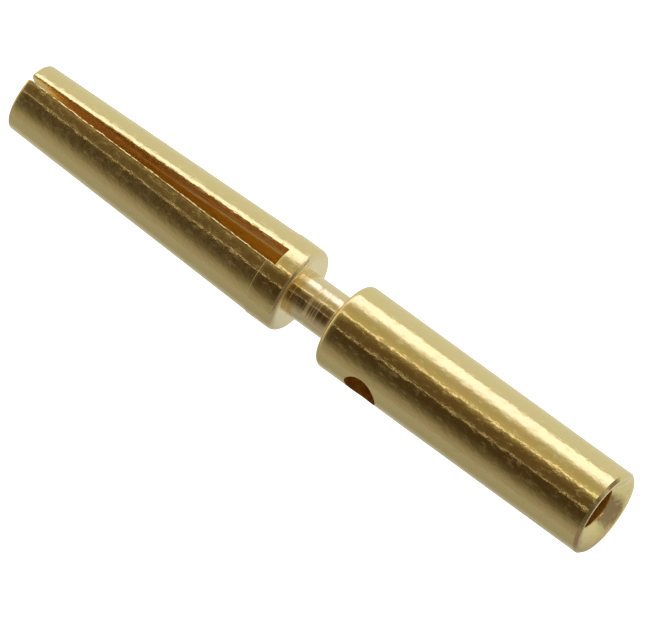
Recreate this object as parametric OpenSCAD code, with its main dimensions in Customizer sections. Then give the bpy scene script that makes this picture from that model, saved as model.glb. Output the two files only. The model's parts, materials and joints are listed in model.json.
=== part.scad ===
// Crimp socket contact, turned from one piece of bar, slotted, drilled and plated.
// It lies along X: the mating mouth is at low X, the crimp end at high X, and the slot opens upwards, leaning to +Y.

/* [Crimp barrel] */
// Outside diameter of the crimp barrel, which is the bar's own size
barrel_d = 3; // [2.97:0.01:3.6]
// Length of the crimp barrel
barrel_len = 10.5; // [8:0.1:14]
// Rounding of the barrel's front edge
front_round = 0.2; // [0.02:0.01:0.4]
// Chamfer round the outside of the crimp end
end_chamfer = 0.1; // [0.02:0.01:0.15]
// Diameter of the wire bore
wire_bore_d = 1.5; // [0.9:0.05:1.9]
// How far the wire bore's full diameter runs past the inspection hole
wire_bore_past_hole = 0.1; // [0:0.05:0.4]
// Diameter of the countersink where it meets the crimp end face
sink_d = 2.58; // [2:0.01:2.64]
// Included angle of the countersink
sink_angle = 110; // [82:1:130]

/* [Inspection hole] */
// Diameter of the inspection hole, drilled through one wall
hole_d = 1.24; // [0.6:0.01:1.4]
// Distance from the barrel's front face back to the hole's centre
hole_back = 1.85; // [1.5:0.01:3]
// Turn of the hole about the axis, away from square to the slot
hole_turn = 4; // [-90:1:90]

/* [Neck] */
// Diameter of the neck, the groove that a housing's latch drops into
neck_d = 1.58; // [1.2:0.02:1.94]
// Length of the neck, from the shoulder to the barrel's front face
neck_len = 1.7; // [1:0.1:4]
// Fillet at both ends of the neck
neck_fillet = 0.24; // [0.02:0.01:0.4]

/* [Socket] */
// Outside diameter of the collar at the socket's root
collar_d = 2.97; // [2.8:0.01:3]
// Length from the mouth back to the shoulder
socket_len = 11; // [8:0.1:14]
// Length of the solid collar between the slot's end and the shoulder
collar_len = 0.8; // [0.62:0.01:1.5]
// Rounding of the shoulder's edge
shoulder_round = 0.25; // [0.01:0.01:0.4]
// Length of each tine between the slot's end and its bend line
tine_straight = 0.31; // [0.1:0.01:1.5]
// Diameter over the tines at the bend line
tine_root_d = 2.92; // [2.7:0.01:2.96]
// Diameter over the tines at the mouth, before they are bent in
tine_tip_d = 2.78; // [2.6:0.01:2.92]
// How far each tine is bent in at the mouth
tine_bend = 0.24; // [0:0.01:0.3]
// Width of the slot as it is sawn
slot_w = 0.65; // [0.62:0.01:0.9]
// Diameter of the socket bore, before the tines are bent in
socket_bore_d = 1.7; // [1.4:0.05:1.8]
// How far the socket bore's full diameter runs past the slot
socket_bore_past_slot = 0.08; // [0:0.01:0.1]
// Chamfer inside the mouth that leads the pin in
mouth_lead = 0.2; // [0.02:0.01:0.25]
// Rounding outside the mouth
mouth_round = 0.1; // [0.02:0.01:0.2]

/* [Drills] */
// Included angle of the drill points
drill_point = 118; // [118:1:140]

/* [Lying] */
// Turn about its own axis from slot straight up to where it lies still; minus brings the hole's side up
rest_turn = -26; // [-90:1:90]

/* [Hidden] */
$fn = 96;
// Steps in a quarter circle of a turned edge
edge_steps = 6;
// How far a cut runs past the metal
over = 0.5;

barrel_r = barrel_d / 2;
neck_r = neck_d / 2;
collar_r = collar_d / 2;
tine_root_r = tine_root_d / 2;
tine_tip_r = tine_tip_d / 2;
wire_bore_r = wire_bore_d / 2;
socket_bore_r = socket_bore_d / 2;
sink_r = sink_d / 2;

// Places along the axis, counted from the mouth
slot_end_x = socket_len - collar_len;
bend_x = slot_end_x - tine_straight;
shoulder_x = socket_len;
front_x = shoulder_x + neck_len;
end_x = front_x + barrel_len;
hole_x = front_x + hole_back;
socket_floor_x = slot_end_x + socket_bore_past_slot;
wire_floor_x = hole_x - hole_d / 2 - wire_bore_past_hole;
sink_floor_x = end_x - (sink_r - wire_bore_r) / tan(sink_angle / 2);

bend_angle = atan(tine_bend / bend_x);
// The contact rests on its widest turned diameter
rest_r = max(barrel_r, collar_r);

// Length of a drill's point
function point_len(r) = r / tan(drill_point / 2);

// Points of a quarter circle or less, about (r, x), from angle a to angle b
function arc(r, x, radius, a, b) =
    [for (i = [0:edge_steps]) let (t = a + (b - a) * i / edge_steps)
        [r + radius * cos(t), x + radius * sin(t)]];

// Turns a profile of [radius, place along the axis] about the X axis
module turned(points) {
    rotate([0, 90, 0]) rotate_extrude() polygon(points);
}

// Collar, neck and barrel as the lathe leaves them, still solid
module turned_blank() {
    turned(concat(
        [[0, bend_x], [collar_r, bend_x]],
        arc(collar_r - shoulder_round, shoulder_x - shoulder_round, shoulder_round, 0, 90),
        arc(neck_r + neck_fillet, shoulder_x + neck_fillet, neck_fillet, 270, 180),
        arc(neck_r + neck_fillet, front_x - neck_fillet, neck_fillet, 180, 90),
        arc(barrel_r - front_round, front_x + front_round, front_round, 270, 360),
        [[barrel_r, end_x - end_chamfer], [barrel_r - end_chamfer, end_x], [0, end_x]]
    ));
}

// Wire bore with its drill point and its countersunk mouth
module wire_bore() {
    flare_r = sink_r + over * tan(sink_angle / 2);
    turned([
        [0, wire_floor_x - point_len(wire_bore_r)],
        [wire_bore_r, wire_floor_x],
        [wire_bore_r, sink_floor_x],
        [flare_r, end_x + over],
        [0, end_x + over]
    ]);
}

// Hole through one wall of the barrel, where the wire's end is seen
module inspection_hole() {
    translate([hole_x, 0, 0])
        rotate([90 + hole_turn, 0, 0])
            cylinder(d = hole_d, h = barrel_r + over);
}

// Blind end of the socket bore, inside the collar
module socket_bore_root() {
    turned([
        [0, bend_x - over],
        [socket_bore_r, bend_x - over],
        [socket_bore_r, socket_floor_x],
        [0, socket_floor_x + point_len(socket_bore_r)]
    ]);
}

// Saw cut through the whole diameter, from before the mouth to its square end
module slot() {
    translate([-over, -slot_w / 2, -collar_r - over])
        cube([slot_end_x + over, slot_w, 2 * (collar_r + over)]);
}

// The drilled and tapered tube that the saw parts into tines
module tine_tube() {
    turned(concat(
        [[socket_bore_r + mouth_lead, 0]],
        arc(tine_tip_r - mouth_round, mouth_round, mouth_round, 270, 360),
        [[tine_root_r, bend_x], [socket_bore_r, bend_x], [socket_bore_r, mouth_lead]]
    ));
}

// One tine on the +Y side, bent in about its root
module tine() {
    translate([bend_x, tine_root_r, 0])
        rotate([0, 0, bend_angle])
            translate([-bend_x, -tine_root_r, 0])
                difference() {
                    tine_tube();
                    translate([-over, -collar_r - over, -collar_r - over])
                        cube([bend_x + 2 * over, collar_r + over + slot_w / 2, 2 * (collar_r + over)]);
                }
}

// The whole contact, one solid, lying with its lowest line on the ground
module socket_contact() {
    color([0.83, 0.69, 0.4])
        translate([-end_x / 2, 0, rest_r]) rotate([rest_turn, 0, 0])
            union() {
                difference() {
                    turned_blank();
                    wire_bore();
                    inspection_hole();
                    socket_bore_root();
                    slot();
                }
                for (side = [0, 1]) mirror([0, side, 0]) tine();
            }
}

socket_contact();
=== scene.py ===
"""Crimp socket contact, turned, slotted, drilled and gold plated, on a pale floor in soft studio light."""

import json
import logging
import math
from dataclasses import dataclass, field
from enum import Enum

import bmesh
import bpy
from mathutils import Matrix, Vector, noise

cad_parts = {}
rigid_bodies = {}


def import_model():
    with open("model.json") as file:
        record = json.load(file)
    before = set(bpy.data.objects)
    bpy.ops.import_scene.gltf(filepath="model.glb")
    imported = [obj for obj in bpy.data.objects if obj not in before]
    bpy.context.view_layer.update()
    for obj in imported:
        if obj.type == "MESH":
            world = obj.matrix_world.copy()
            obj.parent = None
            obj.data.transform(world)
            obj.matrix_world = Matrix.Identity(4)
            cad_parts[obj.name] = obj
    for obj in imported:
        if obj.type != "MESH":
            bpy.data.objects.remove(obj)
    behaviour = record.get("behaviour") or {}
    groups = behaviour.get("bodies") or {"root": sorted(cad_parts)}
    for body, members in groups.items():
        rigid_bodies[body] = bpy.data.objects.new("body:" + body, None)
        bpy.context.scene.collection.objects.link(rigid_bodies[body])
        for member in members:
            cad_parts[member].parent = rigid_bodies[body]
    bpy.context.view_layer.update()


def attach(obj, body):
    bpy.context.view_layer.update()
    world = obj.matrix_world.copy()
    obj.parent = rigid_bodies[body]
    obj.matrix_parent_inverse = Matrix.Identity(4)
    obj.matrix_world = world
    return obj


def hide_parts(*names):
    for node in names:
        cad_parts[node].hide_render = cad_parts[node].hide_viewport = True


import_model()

log = logging.getLogger("contact")

MM = 0.001
NODE = "socket_contact"
INSIDE = "inside"

Colour = tuple[float, float, float]
Stops = list[tuple[float, Colour]]
Steps = tuple[tuple[float, float], ...]


@dataclass(frozen=True)
class ContactSizes:
    """Sizes of the contact in millimetres; places along X count from the mouth.

    They are the solid's own, but for the fillet at the shoulder, which is tighter than the neck's other one.
    """

    barrel_r: float = 1.5
    barrel_len: float = 10.5
    front_round: float = 0.2
    end_chamfer: float = 0.1
    wire_bore_r: float = 0.75
    wire_floor_back: float = 0.72
    sink_r: float = 1.29
    sink_angle: float = 110.0
    hole_r: float = 0.62
    hole_back: float = 1.85
    hole_turn: float = 4.0
    neck_r: float = 0.79
    neck_len: float = 1.7
    neck_fillet: float = 0.24
    shoulder_fillet: float = 0.015
    collar_r: float = 1.485
    socket_len: float = 11.0
    collar_len: float = 0.8
    shoulder_round: float = 0.25
    tine_straight: float = 0.31
    tine_root_r: float = 1.46
    tine_tip_r: float = 1.39
    tine_bend: float = 0.24
    slot_w: float = 0.65
    socket_bore_r: float = 0.85
    socket_floor_past: float = 0.08
    mouth_lead: float = 0.2
    mouth_round: float = 0.1
    drill_point: float = 118.0
    rest_turn: float = -26.0

    @property
    def slot_end_x(self) -> float:
        """Place of the slot's square end."""
        return self.socket_len - self.collar_len

    @property
    def bend_x(self) -> float:
        """Place of the line where the tines are bent in."""
        return self.slot_end_x - self.tine_straight

    @property
    def front_x(self) -> float:
        """Place of the barrel's front face."""
        return self.socket_len + self.neck_len

    @property
    def end_x(self) -> float:
        """Place of the crimp end."""
        return self.front_x + self.barrel_len

    @property
    def hole_x(self) -> float:
        """Place of the inspection hole."""
        return self.front_x + self.hole_back

    @property
    def bend_angle(self) -> float:
        """Angle in radians through which each tine is bent."""
        return math.atan(self.tine_bend / self.bend_x)

    def point_len(self, radius: float) -> float:
        """Length of the drill's point in a bore of that radius."""
        return radius / math.tan(math.radians(self.drill_point / 2))


class Wire:
    """A node's output with arithmetic: an expression on wires adds the Math nodes that it needs."""

    def __init__(self, bench: "Bench", socket: bpy.types.NodeSocket) -> None:
        """Keeps the bench and the socket."""
        self.bench = bench
        self.socket = socket

    def math(self, operation: str, first: "Wire | float", second: "Wire | float" = 0.0) -> "Wire":
        """Adds one Math node.

        Args:
            operation: The node's operation.
            first: What goes into the first socket.
            second: What goes into the second socket.

        Returns:
            The node's result.
        """
        node = self.bench.add("ShaderNodeMath", {"operation": operation}, {0: first, 1: second})
        return Wire(self.bench, node.outputs[0])

    def __add__(self, other: "Wire | float") -> "Wire":
        """Adds."""
        return self.math("ADD", self, other)

    __radd__ = __add__

    def __sub__(self, other: "Wire | float") -> "Wire":
        """Subtracts."""
        return self.math("SUBTRACT", self, other)

    def __rsub__(self, other: "Wire | float") -> "Wire":
        """Subtracts from a number."""
        return self.math("SUBTRACT", other, self)

    def __mul__(self, other: "Wire | float") -> "Wire":
        """Multiplies."""
        return self.math("MULTIPLY", self, other)

    __rmul__ = __mul__

    def __truediv__(self, other: "Wire | float") -> "Wire":
        """Divides."""
        return self.math("DIVIDE", self, other)


@dataclass(frozen=True)
class Grain:
    """Noise: cycles a millimetre along X, Y and Z, octaves of finer noise, and how strong those are."""

    per_mm: tuple[float, float, float]
    detail: float
    rough: float


class Bench:
    """Adds nodes to one node tree."""

    def __init__(self, tree: bpy.types.NodeTree) -> None:
        """Empties the tree and keeps it."""
        self.tree = tree
        tree.nodes.clear()

    def add(self, kind: str, settings: dict | None = None, inputs: dict | None = None) -> bpy.types.Node:
        """Adds a node, sets it and connects it.

        Args:
            kind: The node's type.
            settings: The node's own settings; "stops" is a ramp's list of (place, colour).
            inputs: Values, wires or sockets by the input's name or number.

        Returns:
            The new node.
        """
        node = self.tree.nodes.new(kind)
        for name, value in (settings or {}).items():
            if name == "stops":
                self.set_stops(node.color_ramp, value)
            else:
                setattr(node, name, value)
        for name, value in (inputs or {}).items():
            socket = node.inputs[name]
            if isinstance(value, Wire):
                value = value.socket
            if isinstance(value, bpy.types.NodeSocket):
                self.tree.links.new(value, socket)
            else:
                socket.default_value = value
        return node

    @staticmethod
    def set_stops(ramp: bpy.types.ColorRamp, stops: Stops) -> None:
        """Gives a ramp its stops.

        Args:
            ramp: The ramp.
            stops: Places from 0 to 1 in rising order, each with its colour.
        """
        while len(ramp.elements) < len(stops):
            ramp.elements.new(1.0)
        for element, (place, colour) in zip(ramp.elements, stops):
            element.position = place
            element.color = (*colour, 1.0)

    def wire(self, socket: bpy.types.NodeSocket) -> Wire:
        """Wraps a socket."""
        return Wire(self, socket)

    def clamp(self, value: Wire, low: float = 0.0, high: float = 1.0) -> Wire:
        """Keeps a value between two limits."""
        node = self.add("ShaderNodeClamp", None, {"Value": value, "Min": low, "Max": high})
        return self.wire(node.outputs[0])

    def ramp(self, factor: Wire, stops: Stops) -> bpy.types.NodeSocket:
        """Adds a ramp of colours, read at a place from 0 to 1."""
        return self.add("ShaderNodeValToRGB", {"stops": stops}, {0: factor}).outputs[0]

    def mix(self, factor: object, first: object, second: object) -> bpy.types.NodeSocket:
        """Mixes two colours.

        Args:
            factor: How much of the second: a number, a wire or a socket.
            first: A colour or its socket.
            second: A colour or its socket.

        Returns:
            The mixed colour.
        """
        first, second = ((*c, 1.0) if isinstance(c, tuple) else c for c in (first, second))
        return self.add("ShaderNodeMix", {"data_type": "RGBA"}, {0: factor, 6: first, 7: second}).outputs[2]

    def grain(self, grain: Grain) -> Wire:
        """Adds noise on the piece's own coordinates.

        Args:
            grain: The noise's sizes.

        Returns:
            The noise, from 0 to 1 about 0.5.
        """
        place = self.add("ShaderNodeTexCoord").outputs["Object"]
        scale = tuple(s / MM for s in grain.per_mm)
        mapped = self.add("ShaderNodeMapping", {"vector_type": "POINT"}, {"Vector": place, "Scale": scale})
        node = self.add(
            "ShaderNodeTexNoise",
            {"noise_dimensions": "3D"},
            {"Vector": mapped.outputs[0], "Scale": 1.0, "Detail": grain.detail, "Roughness": grain.rough},
        )
        return self.wire(node.outputs[0])


@dataclass(frozen=True)
class GoldPlate:
    """Satin gold plate over turned brass, worn a little and paler in the groove, with painted shade inside: a
    deeper, browner tint on the faces in the bores, the slot and the hole.

    Heights and stretches along X are in millimetres.
    """

    bright: Colour = (0.95, 0.79, 0.38)
    deep: Colour = (0.88, 0.71, 0.32)
    pale: Colour = (0.92, 0.77, 0.45)
    rose: Colour = (0.97, 0.72, 0.38)
    olive: Colour = (0.86, 0.78, 0.33)
    # Painted shade: a deeper, browner tint for the faces in the bores, the slot and the hole
    inner_painted_shade: Colour = (0.95, 0.70, 0.24)
    blush: float = 0.4
    cloud_share: float = 0.9
    streak_share: float = 0.6
    tone_shift: float = 0.25
    tint_gain: float = 2.4
    tint_shift: float = 0.7
    roughness: float = 0.09
    roughness_swing: float = 0.06
    cloud_gloss: float = 0.6
    turning_gloss: float = 0.4
    scuff_from: float = 0.54
    scuff_gain: float = 10.0
    scuff_roughness: float = 0.20
    inner_roughness: float = 0.22
    face_roughness: float = 0.05
    turning_height: float = 0.001
    wave_height: float = 0.009
    dimple_height: float = 0.006
    grit_height: float = 0.0012
    ring_height: float = 0.035
    groove_mm: tuple[float, float] = (-0.78, 1.08)
    face_mm: tuple[float, float] = (-0.76, -0.44)
    rings_mm: tuple[float, float] = (0.0, 0.55)
    fade_mm: float = 0.1
    turning: Grain = Grain((28.0, 0.15, 0.15), 3.0, 0.6)
    streaks: Grain = Grain((0.5, 9.0, 9.0), 3.0, 0.6)
    clouds: Grain = Grain((1.6, 2.6, 2.6), 4.0, 0.55)
    tint: Grain = Grain((1.3, 2.4, 2.4), 3.0, 0.6)
    patches: Grain = Grain((2.8, 6.0, 6.0), 3.0, 0.6)
    waves: Grain = Grain((1.6, 2.2, 2.2), 2.0, 0.5)
    dimples: Grain = Grain((3.6, 5.5, 5.5), 2.0, 0.5)
    grit: Grain = Grain((12.0, 16.0, 16.0), 2.0, 0.5)
    rings: Grain = Grain((13.0, 0.12, 0.12), 2.0, 0.6)

    def build(self) -> bpy.types.Material:
        """Makes the material.

        Returns:
            The material.
        """
        material = bpy.data.materials.new("gold_plate")
        material.use_nodes = True
        bench = Bench(material.node_tree)
        turning, clouds = bench.grain(self.turning), bench.grain(self.clouds)
        inside = bench.wire(bench.add("ShaderNodeAttribute", {"attribute_name": INSIDE}).outputs["Fac"])
        surface = {
            "Base Color": self.tone(bench, clouds, inside),
            "Metallic": 1.0,
            "Roughness": self.gloss(bench, clouds, turning, inside),
            "Normal": self.relief(bench, turning),
        }
        shader = bench.add("ShaderNodeBsdfPrincipled", None, surface)
        bench.add("ShaderNodeOutputMaterial", None, {"Surface": shader.outputs[0]})
        return material

    def tone(self, bench: Bench, clouds: Wire, inside: Wire) -> bpy.types.NodeSocket:
        """Mixes the plating's colour.

        Args:
            bench: The material's bench.
            clouds: The broad noise.
            inside: 1 on the faces in the bores, the slot and the hole, which take the painted shade.

        Returns:
            The colour.
        """
        share = clouds * self.cloud_share + bench.grain(self.streaks) * self.streak_share - self.tone_shift
        hue = bench.mix(bench.grain(self.tint) * self.tint_gain - self.tint_shift, self.olive, self.rose)
        tone = bench.mix(self.blush, bench.mix(share, self.deep, self.bright), hue)
        tone = bench.mix(self.stretch(bench, self.groove_mm), tone, self.pale)
        # Painted shade: the faces inside take a deeper, browner tint
        return bench.mix(inside, tone, self.inner_painted_shade)

    def gloss(self, bench: Bench, clouds: Wire, turning: Wire, inside: Wire) -> Wire:
        """Works out the roughness: the lathe's satin, scuffs, and duller faces inside and at the shoulder.

        Args:
            bench: The material's bench.
            clouds: The broad noise.
            turning: The noise of the turned lines.
            inside: 1 on the faces in the bores, the slot and the hole.

        Returns:
            The roughness.
        """
        scuffs = bench.clamp((bench.grain(self.patches) - self.scuff_from) * self.scuff_gain)
        satin = (clouds * self.cloud_gloss + turning * self.turning_gloss) * self.roughness_swing
        rough = satin + (self.roughness - 0.5 * self.roughness_swing)
        rough = rough + scuffs * self.scuff_roughness + inside * self.inner_roughness
        return rough + self.stretch(bench, self.face_mm) * self.face_roughness

    def relief(self, bench: Bench, turning: Wire) -> bpy.types.NodeSocket:
        """Adds the fine relief: turned lines, waves, dimples and grit in the plating, and the neck's rings.

        Args:
            bench: The material's bench.
            turning: The noise of the turned lines.

        Returns:
            The bumped normal.
        """
        waves, dimples, grit = (bench.grain(g) for g in (self.waves, self.dimples, self.grit))
        dents = waves * self.wave_height + dimples * self.dimple_height + grit * self.grit_height
        rings = bench.grain(self.rings) * self.stretch(bench, self.rings_mm) * self.ring_height
        height = turning * self.turning_height + dents + rings
        bump = bench.add("ShaderNodeBump", None, {"Strength": 1.0, "Distance": MM, "Height": height})
        return bump.outputs[0]

    def stretch(self, bench: Bench, ends: tuple[float, float]) -> Wire:
        """Marks a stretch along the contact, fading over the last of it.

        Args:
            bench: The material's bench.
            ends: Where it begins and ends along X, in millimetres.

        Returns:
            1 in the stretch, 0 elsewhere.
        """
        place = bench.add("ShaderNodeTexCoord").outputs["Object"]
        along = bench.wire(bench.add("ShaderNodeSeparateXYZ", None, {0: place}).outputs[0]) / MM
        low, high = ends
        from_middle = along.math("ABSOLUTE", along - 0.5 * (low + high))
        return bench.clamp((0.5 * (high - low) - from_middle) / self.fade_mm)


@dataclass(frozen=True)
class PaleFloor:
    """Matt white table that the camera sees as plain white; its glow, seen only in reflections, holds painted
    light on the softbox's side and painted shadow on the other side and past the crimp end.
    """

    colour: Colour = (0.5, 0.5, 0.5)
    roughness: float = 0.9
    # Painted light and shadow in the glow: dim on the side away from the softbox, bright on its side, dimmest
    # past the crimp end
    shadow_side_glow: Colour = (0.20, 0.21, 0.21)
    softbox_side_glow: Colour = (0.49, 0.53, 0.53)
    end_shade_glow: Colour = (0.08, 0.06, 0.08)
    blend_at_mm: float = -2.5
    blend_mm: float = 1.5
    end_at_mm: float = 13.6
    end_blend_mm: float = 1.2
    end_slant: float = 2.0
    slant_mm: float = 0.8
    exposure: float = 1.0

    def build(self) -> bpy.types.Material:
        """Makes the material.

        Returns:
            The material.
        """
        material = bpy.data.materials.new("pale_floor")
        material.use_nodes = True
        bench = Bench(material.node_tree)
        place = bench.add("ShaderNodeTexCoord").outputs["Object"]
        parts = bench.add("ShaderNodeSeparateXYZ", None, {0: place})
        along, across = bench.wire(parts.outputs[0]), bench.wire(parts.outputs[1])
        side = bench.clamp((across / MM - self.blend_at_mm) / (2 * self.blend_mm) + 0.5)
        beside = bench.clamp(across / MM, -self.slant_mm, self.slant_mm)
        beyond = along / MM - beside * self.end_slant - self.end_at_mm
        past = bench.clamp(beyond / (2 * self.end_blend_mm) + 0.5)
        # Painted light and shadow: the glow is brighter on the softbox's side and darker where the contact
        # would shade the floor and past the crimp end
        glow = bench.mix(past, bench.mix(side, self.shadow_side_glow, self.softbox_side_glow), self.end_shade_glow)
        surface = {
            "Base Color": (*self.colour, 1.0),
            "Roughness": self.roughness,
            "Specular IOR Level": 0.0,
            "Emission Color": glow,
            "Emission Strength": 1.0,
        }
        table = bench.add("ShaderNodeBsdfPrincipled", None, surface)
        seen = bench.wire(bench.add("ShaderNodeLightPath").outputs["Is Camera Ray"])
        white = bench.add("ShaderNodeEmission", None, {"Strength": seen * self.exposure})
        both = bench.add("ShaderNodeAddShader", None, {0: table.outputs[0], 1: white.outputs[0]})
        bench.add("ShaderNodeOutputMaterial", None, {"Surface": both.outputs[0]})
        return material


class EdgeBreak(Enum):
    """How a turned corner is broken."""

    ROUND = 8
    CHAMFER = 1


@dataclass(frozen=True)
class Corner:
    """A sharp corner of the turned profile, and how it is broken."""

    x: float
    r: float
    size: float
    kind: EdgeBreak = EdgeBreak.ROUND


@dataclass
class Contact:
    """The whole contact: a turned blank with bores, a sawn slot, bent tines and a drilled hole.

    Lengths are in millimetres and angles in degrees. A station is the longest edge allowed along the contact.
    """

    sizes: ContactSizes = field(default_factory=ContactSizes)
    finish: GoldPlate = field(default_factory=GoldPlate)
    columns: int = 192
    hole_sides: int = 96
    station: float = 0.16
    neck_station: float = 0.03
    rim_station: float = 0.1
    rim_cuts: int = 3
    rim_angle: float = 40.0
    sharp_angle: float = 35.0
    lead_edge: float = 0.03
    step_edge: float = 0.018
    sink_edge: float = 0.012
    sink_floor_edge: float = 0.02
    tool_mark: float = 0.003
    marks_per_mm: float = 9.0
    slot_edge: float = 0.045
    slot_edge_steps: int = 3
    burr: float = 0.03
    lift_per_mm: tuple[float, float, float] = (8.0, 3.0, 5.0)
    lean_per_mm: float = 9.0
    lean_shift: float = 7.0
    mouth_clear: float = 0.1
    drill_over: float = 0.5
    wire_bore_limit: float = 0.8
    inward: float = 0.3
    square: float = 0.95
    hole_slack: float = 0.02
    tiny: float = 1e-4

    def corners(self) -> list[Corner]:
        """The turned profile from the socket's floor round the mouth and the crimp end to the wire's floor.

        Returns:
            The corners in order; a corner of size 0 stays sharp.
        """
        s = self.sizes
        sink_floor = s.end_x - (s.sink_r - s.wire_bore_r) / math.tan(math.radians(s.sink_angle / 2))
        socket_floor = s.slot_end_x + s.socket_floor_past
        wire_floor = s.hole_x - s.wire_floor_back
        return [
            Corner(socket_floor + s.point_len(s.socket_bore_r), 0, 0),
            Corner(socket_floor, s.socket_bore_r, 0),
            Corner(s.slot_end_x, s.socket_bore_r, 0),
            Corner(s.mouth_lead, s.socket_bore_r, self.lead_edge),
            Corner(0, s.socket_bore_r + s.mouth_lead, self.lead_edge),
            Corner(0, s.tine_tip_r, s.mouth_round),
            Corner(s.bend_x, s.tine_root_r, 0),
            Corner(s.bend_x, s.collar_r, self.step_edge),
            Corner(s.slot_end_x, s.collar_r, 0),
            Corner(s.socket_len, s.collar_r, s.shoulder_round),
            Corner(s.socket_len, s.neck_r, s.shoulder_fillet),
            Corner(s.front_x, s.neck_r, s.neck_fillet),
            Corner(s.front_x, s.barrel_r, s.front_round),
            Corner(s.end_x, s.barrel_r, s.end_chamfer, EdgeBreak.CHAMFER),
            Corner(s.end_x, s.sink_r, self.sink_edge),
            Corner(sink_floor, s.wire_bore_r, self.sink_floor_edge),
            Corner(wire_floor, s.wire_bore_r, 0),
            Corner(wire_floor - s.point_len(s.wire_bore_r), 0, 0),
        ]

    def longest(self, edge: bmesh.types.BMEdge) -> float:
        """Longest edge allowed there along the profile: the neck is finer, for its rings."""
        on_neck = all(abs(v.co.z - self.sizes.neck_r) < self.tiny for v in edge.verts)
        return self.neck_station if on_neck else self.station

    def turn_blank(self) -> bmesh.types.BMesh:
        """Draws half the profile, breaks its corners and turns it about the X axis.

        Returns:
            The blank, closed.
        """
        bm = bmesh.new()
        corners = self.corners()
        points = [bm.verts.new((c.x, 0, c.r)) for c in corners]
        for first, second in zip(points, points[1:]):
            bm.edges.new((first, second))
        for corner, point in zip(corners, points):
            if corner.size:
                bmesh.ops.bevel(
                    bm,
                    geom=[point],
                    offset=corner.size,
                    segments=corner.kind.value,
                    profile=0.5,
                    affect="VERTICES",
                    material=-1,
                )
        while far := [e for e in bm.edges if e.calc_length() > self.longest(e)]:
            bmesh.ops.subdivide_edges(bm, edges=far, cuts=1)
        bmesh.ops.spin(
            bm,
            geom=bm.verts[:] + bm.edges[:],
            cent=(0, 0, 0),
            axis=(1, 0, 0),
            angle=2 * math.pi,
            steps=self.columns,
            use_merge=True,
        )
        bmesh.ops.remove_doubles(bm, verts=bm.verts[:], dist=self.tiny)
        bmesh.ops.recalc_face_normals(bm, faces=bm.faces[:])
        return bm

    def score_neck(self, bm: bmesh.types.BMesh) -> None:
        """Leaves the lathe tool's fine rings on the neck.

        Args:
            bm: The blank.
        """
        s = self.sizes
        for v in bm.verts:
            if s.socket_len + s.neck_fillet < v.co.x < s.front_x - s.neck_fillet:
                ripple = self.tool_mark * noise.noise((v.co.x * self.marks_per_mm, 0.0, 0.0))
                v.co.y *= 1 + ripple / s.neck_r
                v.co.z *= 1 + ripple / s.neck_r

    def saw_slot(self, bm: bmesh.types.BMesh) -> None:
        """Cuts the slot through both walls and closes its sides and its end.

        Args:
            bm: The blank.
        """
        s = self.sizes
        half = s.slot_w / 2
        limit = s.slot_end_x + self.tiny
        step = 2 * math.pi / self.columns
        for v in bm.verts:
            r = math.hypot(v.co.y, v.co.z)
            if v.co.x < limit and r > half and abs(abs(v.co.y) - half) <= 0.5 * step * abs(v.co.z):
                v.co.y = math.copysign(half, v.co.y)
                v.co.z = math.copysign(math.sqrt(r * r - half * half), v.co.z)
        for side in (-half, half):
            faces = [f for f in bm.faces if all(v.co.x < limit for v in f.verts)]
            # A dict keeps their order, so that every run cuts alike
            edges = dict.fromkeys(e for f in faces for e in f.edges)
            verts = dict.fromkeys(v for f in faces for v in f.verts)
            bmesh.ops.bisect_plane(
                bm,
                geom=faces + list(edges) + list(verts),
                dist=self.tiny,
                plane_co=(0, side, 0),
                plane_no=(0, 1, 0),
            )
        gone = []
        for f in bm.faces:
            middle = f.calc_center_median()
            if abs(middle.y) < half - self.tiny and all(v.co.x < limit for v in f.verts):
                gone.append(f)
        bmesh.ops.delete(bm, geom=gone, context="FACES")
        for up in (-1, 1):
            self.wall_slot(bm, up, half)

    def wall_slot(self, bm: bmesh.types.BMesh, up: int, half: float) -> None:
        """Closes the two sides and the end of the slot in one wall of the tube.

        Args:
            bm: The blank, with the slot open.
            up: 1 for the upper slot, -1 for the lower one.
            half: Half the slot's width.
        """
        end_x = self.sizes.slot_end_x
        open_edges = [e for e in bm.edges if e.is_boundary and all(v.co.z * up > 0 for v in e.verts)]
        risers = []
        for side in (-half, half):
            feet = {
                v
                for e in open_edges
                for v in e.verts
                if abs(v.co.y - side) < self.tiny and abs(v.co.x - end_x) < self.tiny
            }
            risers.append(bm.edges.new(sorted(feet, key=lambda v: abs(v.co.z))))
        for side, riser in zip((-half, half), risers):
            rim = [e for e in open_edges if all(abs(v.co.y - side) < self.tiny for v in e.verts)]
            bmesh.ops.contextual_create(bm, geom=rim + [riser])
        rim = [e for e in open_edges if all(abs(v.co.x - end_x) < self.tiny for v in e.verts)]
        bmesh.ops.contextual_create(bm, geom=rim + risers)

    def ease_slot(self, bm: bmesh.types.BMesh) -> None:
        """Rounds the slot's outer edges a little, as the saw and the plating leave them.

        Args:
            bm: The slotted blank.
        """
        s = self.sizes
        half = s.slot_w / 2

        def outside(v: bmesh.types.BMVert) -> bool:
            """Tells whether a point is on the outside or the mouth."""
            return math.hypot(v.co.y, v.co.z) > s.socket_bore_r + s.mouth_lead / 2

        def rims() -> list[bmesh.types.BMEdge]:
            """Finds the slot's outer edges."""
            return [
                e
                for e in bm.edges
                if len(e.link_faces) == 2
                and all(outside(v) and v.co.x < s.slot_end_x + self.tiny for v in e.verts)
                and e.calc_face_angle(0.0) > math.radians(self.rim_angle)
                and all(abs(v.co.y) < half + self.tiny for v in e.verts)
            ]

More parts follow.
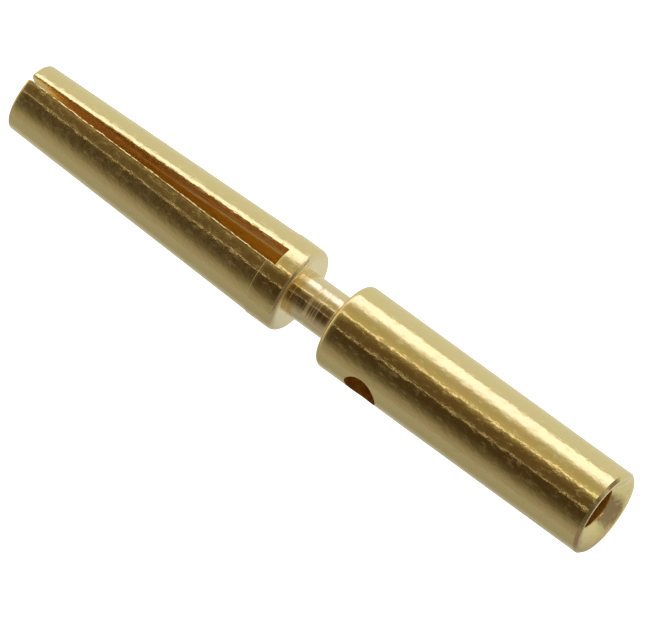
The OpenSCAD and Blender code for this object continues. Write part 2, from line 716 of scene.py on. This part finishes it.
        long_rims = [e for e in rims() if e.calc_length() > self.rim_station]
        bmesh.ops.subdivide_edges(bm, edges=long_rims, cuts=self.rim_cuts)
        rounded = bmesh.ops.bevel(
            bm,
            geom=rims(),
            offset=self.slot_edge,
            segments=self.slot_edge_steps,
            profile=0.5,
            affect="EDGES",
            material=-1,
        )
        along, across, up = self.lift_per_mm
        for v in {v for f in rounded["faces"] for v in f.verts}:
            if self.mouth_clear < v.co.x < s.slot_end_x - self.mouth_clear:
                x, y, z = v.co
                lift = self.burr * noise.noise((x * along, y * across, z * up))
                lean = self.burr * noise.noise((x * self.lean_per_mm, self.lean_shift + y, z))
                v.co.z += math.copysign(lift, z)
                v.co.y -= math.copysign(abs(lean), y)

    def bend_tines(self, bm: bmesh.types.BMesh) -> None:
        """Bends each tine in about its root.

        Args:
            bm: The slotted blank.
        """
        s = self.sizes
        for side in (-1, 1):
            tine = [v for v in bm.verts if v.co.x < s.bend_x - self.tiny and v.co.y * side > 0]
            bmesh.ops.rotate(
                bm,
                verts=tine,
                cent=(s.bend_x, side * s.tine_root_r, 0),
                matrix=Matrix.Rotation(side * s.bend_angle, 3, "Z"),
            )

    def hole_cutter(self) -> bpy.types.Object:
        """Makes the drill that cuts the inspection hole.

        Returns:
            The drill's object, to be removed after the cut.
        """
        s = self.sizes
        depth = s.barrel_r + self.drill_over
        square = Matrix.Rotation(math.radians(90 + s.hole_turn), 3, "X")
        bm = bmesh.new()
        bmesh.ops.create_cone(
            bm, cap_ends=True, segments=self.hole_sides, radius1=s.hole_r, radius2=s.hole_r, depth=depth
        )
        bmesh.ops.translate(bm, verts=bm.verts[:], vec=(0, 0, depth / 2))
        bmesh.ops.rotate(bm, verts=bm.verts[:], cent=(0, 0, 0), matrix=square)
        bmesh.ops.translate(bm, verts=bm.verts[:], vec=(s.hole_x, 0, 0))
        return add_object("hole_drill", bm)

    def drill_hole(self, contact: bpy.types.Object) -> None:
        """Cuts the inspection hole through one wall of the barrel.

        Args:
            contact: The contact's object, whose mesh is changed.
        """
        drill = self.hole_cutter()
        cut = contact.modifiers.new("hole", "BOOLEAN")
        cut.operation = "DIFFERENCE"
        cut.solver = "EXACT"
        cut.object = drill
        graph = bpy.context.evaluated_depsgraph_get()
        mesh = bpy.data.meshes.new_from_object(contact.evaluated_get(graph))
        contact.modifiers.clear()
        contact.data = mesh
        bpy.data.objects.remove(drill)

    def is_inside(self, face: bpy.types.MeshPolygon) -> bool:
        """Tells whether a face is in a bore, in the slot or in the inspection hole.

        Args:
            face: A face of the contact, still on the lathe's axis.

        Returns:
            True if it is.
        """
        s = self.sizes
        x, y, z = face.center
        r = math.hypot(y, z)
        normal = face.normal
        inward = (normal.y * y + normal.z * z) / max(r, self.tiny) < -self.inward
        bore_limit = self.wire_bore_limit if x > s.front_x else s.socket_bore_r + 0.5 * s.mouth_lead
        on_slot = x < s.slot_end_x + self.tiny and abs(y) < 0.5 * s.slot_w + self.tiny
        in_slot = on_slot and (abs(normal.y) > self.square or normal.x < -self.square)
        drill = math.radians(90 + s.hole_turn)
        beside = abs(y * math.cos(drill) + z * math.sin(drill))
        on_hole = abs(math.hypot(x - s.hole_x, beside) - s.hole_r) < self.hole_slack
        in_hole = on_hole and s.wire_bore_r < r < s.barrel_r - self.hole_slack
        return (inward and r < bore_limit) or in_slot or in_hole

    def mark_inside(self, contact: bpy.types.Object) -> None:
        """Marks the faces in the bores, the slot and the hole, which take painted shade (a deeper, browner
        tint) and a duller finish.

        Args:
            contact: The contact's object, still on the lathe's axis.
        """
        marks = contact.data.attributes.new(INSIDE, "FLOAT", "FACE")
        for face, mark in zip(contact.data.polygons, marks.data):
            mark.value = float(self.is_inside(face))

    def set_down(self, contact: bpy.types.Object) -> None:
        """Moves the mesh from the lathe's axis to where the contact lies, and makes millimetres metres.

        Args:
            contact: The contact's object.
        """
        s = self.sizes
        place = Matrix.Translation((0, 0, s.barrel_r)) @ Matrix.Rotation(math.radians(s.rest_turn), 4, "X")
        contact.data.transform(Matrix.Scale(MM, 4) @ place @ Matrix.Translation((-s.end_x / 2, 0, 0)))

    def build(self) -> bpy.types.Object:
        """Builds and dresses the contact.

        Returns:
            The contact's object.
        """
        bm = self.turn_blank()
        self.score_neck(bm)
        self.saw_slot(bm)
        self.ease_slot(bm)
        self.bend_tines(bm)
        contact = add_object("contact_body", bm)
        self.drill_hole(contact)
        self.mark_inside(contact)
        self.set_down(contact)
        contact.data.shade_smooth()
        contact.data.set_sharp_from_angle(angle=math.radians(self.sharp_angle))
        contact.data.materials.clear()
        contact.data.materials.append(self.finish.build())
        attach(contact, "root")
        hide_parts(NODE)
        log.info("contact_body: %d faces", len(contact.data.polygons))
        return contact


def add_object(name: str, bm: bmesh.types.BMesh) -> bpy.types.Object:
    """Makes an object of a bmesh and frees it.

    Args:
        name: The object's name.
        bm: The bmesh.

    Returns:
        The new object, in the scene.
    """
    mesh = bpy.data.meshes.new(name)
    bm.to_mesh(mesh)
    bm.free()
    made = bpy.data.objects.new(name, mesh)
    bpy.context.scene.collection.objects.link(made)
    return made


@dataclass(frozen=True)
class PhotoView:
    """How the photograph looks at the contact, with the slot taken as straight up."""

    frame_px: float = 645.0
    px_per_mm: float = 32.17
    azimuth: float = 39.53
    elevation: float = 61.8
    middle_px: tuple[float, float] = (316.5, 304.2)
    centre_px: tuple[float, float] = (322.5, 320.0)
    lens: float = 1000.0
    sensor: float = 36.0
    clip: tuple[float, float] = (0.01, 20.0)


@dataclass
class Studio:
    """Floor, surround and camera.

    A step along the axis pairs a direction's part along X, from -1 to 1, with the level there.
    """

    sizes: ContactSizes = field(default_factory=ContactSizes)
    view: PhotoView = field(default_factory=PhotoView)
    floor_finish: PaleFloor = field(default_factory=PaleFloor)
    floor_size: float = 3.0
    floor_squares: int = 8
    near_end: Colour = (0.85, 0.78, 0.65)
    softbox_reach: Steps = ((-0.95, 0.0), (-0.8, 1.0), (-0.1, 1.0), (0.0, 0.7), (0.33, 0.75), (0.42, 0.0))
    far_blend: Steps = ((0.4, 0.0), (0.7, 1.0))
    far_level: Steps = ((0.8, 1.0), (0.93, 0.6), (0.975, 0.6), (0.995, 1.6))
    near_blend: Steps = ((-0.97, 1.0), (-0.85, 0.5), (-0.6, 0.2), (-0.31, 0.0))
    bounces: int = 16
    glossy_bounces: int = 12

    def lay_floor(self) -> bpy.types.Object:
        """Lays the floor under the contact.

        Returns:
            The floor.
        """
        bm = bmesh.new()
        squares = self.floor_squares
        bmesh.ops.create_grid(bm, x_segments=squares, y_segments=squares, size=self.floor_size / 2)
        floor = add_object("floor", bm)
        floor.data.materials.append(self.floor_finish.build())
        log.info("floor: %.1f m square", self.floor_size)
        return floor

    def bands(self) -> Stops:
        """The light all round the contact's axis.

        Returns:
            Angles in degrees from straight over the slot towards +Y, each with its colour.
        """
        return [
            (-180.0, (0.37, 0.38, 0.38)),
            (-122.0, (0.36, 0.34, 0.31)),
            (-109.0, (0.32, 0.29, 0.255)),
            (-102.0, (0.30, 0.27, 0.23)),
            (-96.0, (0.265, 0.23, 0.19)),
            (-90.0, (0.21, 0.18, 0.135)),
            (-84.0, (0.15, 0.125, 0.085)),
            (-78.0, (0.11, 0.088, 0.055)),
            (-70.0, (0.078, 0.056, 0.031)),
            (-62.0, (0.056, 0.037, 0.017)),
            (-48.0, (0.056, 0.035, 0.014)),
            (-40.4, (0.07, 0.05, 0.025)),
            (-40.0, (0.80, 0.67, 0.51)),
            (-39.1, (0.80, 0.67, 0.51)),
            (-38.7, (0.11, 0.075, 0.035)),
            (-22.0, (0.105, 0.069, 0.029)),
            (-14.0, (0.14, 0.095, 0.042)),
            (-9.0, (0.23, 0.175, 0.09)),
            (-4.0, (0.36, 0.29, 0.17)),
            (-2.4, (1.20, 1.12, 0.92)),
            (-0.6, (1.20, 1.12, 0.92)),
            (1.4, (0.50, 0.43, 0.27)),
            (16.0, (0.42, 0.36, 0.22)),
            (24.0, (0.45, 0.41, 0.29)),
            (30.0, (0.54, 0.51, 0.42)),
            (40.0, (0.60, 0.58, 0.50)),
            (66.0, (0.62, 0.62, 0.56)),
            (180.0, (0.66, 0.67, 0.63)),
        ]

    def softbox(self) -> Stops:
        """The softbox's own light, added to the bands over the part of the axis that it covers.

        Returns:
            Angles in degrees from straight over the slot towards +Y, each with its colour.
        """
        dark = (0.0, 0.0, 0.0)
        return [
            (29.0, dark),
            (36.0, (0.37, 0.42, 0.64)),
            (41.0, (0.75, 0.72, 1.15)),
            (60.0, (0.73, 0.69, 1.1)),
            (66.0, (0.48, 0.53, 0.74)),
            (100.0, dark),
        ]

    def far_end(self) -> Stops:
        """The light beyond the crimp end, all round the axis.

        Returns:
            Angles in degrees from straight over the slot towards +Y, each with its colour.
        """
        return [
            (-120.0, (0.17, 0.14, 0.11)),
            (5.0, (0.19, 0.155, 0.12)),
            (25.0, (0.32, 0.28, 0.22)),
            (50.0, (0.62, 0.57, 0.47)),
            (180.0, (0.62, 0.60, 0.52)),
        ]

    def hang_surround(self) -> None:
        """Gives the world soft bands of light that run along the contact, a softbox and a paler far end."""
        world = bpy.data.worlds.new("surround")
        bpy.context.scene.world = world
        world.use_nodes = True
        bench = Bench(world.node_tree)
        way = bench.add("ShaderNodeTexCoord").outputs["Generated"]
        parts = bench.add("ShaderNodeSeparateXYZ", None, {0: way})
        along, across, up = (bench.wire(parts.outputs[i]) for i in range(3))
        turn = across.math("ARCTAN2", across, up) / (2 * math.pi) + 0.5 + self.sizes.rest_turn / 360.0
        turn = turn.math("FRACT", turn)
        place = along * 0.5 + 0.5
        bands = self.about_axis(bench, turn, self.bands())
        box = self.about_axis(bench, turn, self.softbox())
        far = self.about_axis(bench, turn, self.far_end())
        level = self.along_axis(bench, place, self.far_level)
        far = bench.add("ShaderNodeVectorMath", {"operation": "MULTIPLY"}, {0: far, 1: level}).outputs[0]
        box = bench.mix(self.along_axis(bench, place, self.softbox_reach), (0.0, 0.0, 0.0), box)
        light = bench.add("ShaderNodeVectorMath", {"operation": "ADD"}, {0: bands, 1: box}).outputs[0]
        light = bench.mix(self.along_axis(bench, place, self.far_blend), light, far)
        light = bench.mix(self.along_axis(bench, place, self.near_blend), light, self.near_end)
        sky = bench.add("ShaderNodeBackground", None, {"Color": light, "Strength": 1.0})
        backdrop = bench.add("ShaderNodeBackground", None, {"Color": (1.0, 1.0, 1.0, 1.0), "Strength": 1.0})
        seen = bench.add("ShaderNodeLightPath").outputs["Is Camera Ray"]
        both = bench.add("ShaderNodeMixShader", None, {0: seen, 1: sky.outputs[0], 2: backdrop.outputs[0]})
        bench.add("ShaderNodeOutputWorld", None, {"Surface": both.outputs[0]})
        log.info("surround: %d bands", len(self.bands()))

    @staticmethod
    def about_axis(bench: Bench, turn: Wire, stops: Stops) -> bpy.types.NodeSocket:
        """Adds a ramp about the axis, from its stops in degrees."""
        return bench.ramp(turn, [((angle + 180.0) / 360.0, colour) for angle, colour in stops])

    @staticmethod
    def along_axis(bench: Bench, place: Wire, steps: Steps) -> bpy.types.NodeSocket:
        """Adds a grey ramp along the axis, from its steps."""
        return bench.ramp(place, [(0.5 * along + 0.5, (level, level, level)) for along, level in steps])

    def set_camera(self) -> bpy.types.Object:
        """Sets the camera at the photograph's viewing angle.

        Returns:
            The camera.
        """
        v = self.view
        azimuth, elevation = math.radians(v.azimuth), math.radians(v.elevation)
        flat = math.cos(elevation)
        right = Vector((math.cos(azimuth), math.sin(azimuth), 0))
        back = Vector((flat * math.sin(azimuth), -flat * math.cos(azimuth), math.sin(elevation)))
        turn = Matrix.Rotation(math.radians(self.sizes.rest_turn), 3, "X")
        right, back = turn @ right, turn @ back
        up = back.cross(right)
        width = v.frame_px / v.px_per_mm * MM
        away = width * v.lens / v.sensor
        shift = (v.centre_px[0] - v.middle_px[0], v.centre_px[1] - v.middle_px[1])
        aside = (right * shift[0] - up * shift[1]) * (MM / v.px_per_mm)
        aim = Vector((0, 0, self.sizes.barrel_r * MM)) + aside
        data = bpy.data.cameras.new("photo_view")
        data.sensor_fit = "HORIZONTAL"
        data.sensor_width = v.sensor
        data.lens = v.lens
        data.clip_start, data.clip_end = v.clip
        camera = bpy.data.objects.new("photo_view", data)
        bpy.context.scene.collection.objects.link(camera)
        axes = Matrix((right, up, back)).transposed().to_4x4()
        camera.matrix_world = Matrix.Translation(aim + back * away) @ axes
        bpy.context.scene.camera = camera
        log.info("camera: %.0f mm away", away / MM)
        return camera

    def build(self) -> None:
        """Sets up the whole studio."""
        self.set_camera()
        self.lay_floor()
        self.hang_surround()
        scene = bpy.context.scene
        scene.view_settings.view_transform = "Standard"
        scene.cycles.max_bounces = self.bounces
        scene.cycles.glossy_bounces = self.glossy_bounces


def main() -> None:
    """Builds the studio and the contact."""
    logging.basicConfig(level=logging.INFO, format="%(name)s: %(message)s")
    Studio().build()
    Contact().build()


if __name__ == "__main__":
    main()
